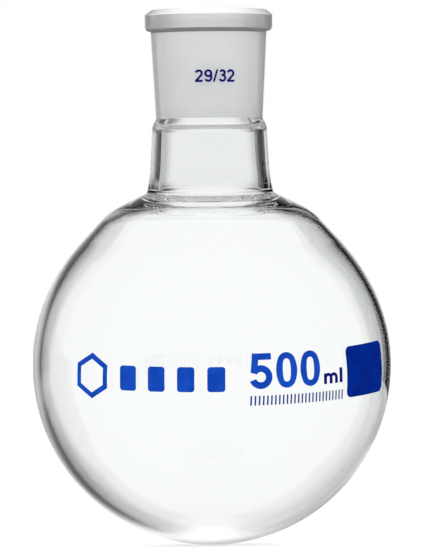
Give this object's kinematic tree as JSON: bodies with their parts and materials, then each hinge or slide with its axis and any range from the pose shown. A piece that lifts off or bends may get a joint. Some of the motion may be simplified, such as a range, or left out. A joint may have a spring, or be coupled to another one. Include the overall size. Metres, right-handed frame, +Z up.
{
  "type": "round bottom flask",
  "caption": "Round-bottomed laboratory glass flask with a short flared neck, a ground conical socket under a thick bevelled rim, and fired enamel capacity, joint-size and writing marks.",
  "frame": {"origin": "the lowest point of the bulb, on the axis of revolution", "axes": "+Z up along the axis of revolution, out of the mouth; -Y is the side the enamel marks face; +X is to the right of the marks"},
  "size_m": [0.105, 0.1051, 0.1565],
  "materials": {
    "clear_glass": "gloss",
    "ground_glass": "matte",
    "blue_enamel": "satin",
    "navy_enamel": "satin",
    "patch_enamel": "satin"
  },
  "bodies": {
    "root": {"bulb": "clear_glass", "neck": "clear_glass", "seal_ring": "clear_glass", "ground_socket": "ground_glass", "rim_bead": "ground_glass", "joint_size_mark": "navy_enamel", "capacity_number": "blue_enamel", "unit_mark": "navy_enamel", "ruled_line": "navy_enamel", "emblem_hexagon": "blue_enamel", "emblem_blocks": "blue_enamel", "marking_patch": "patch_enamel"}
  },
  "joints": []
}
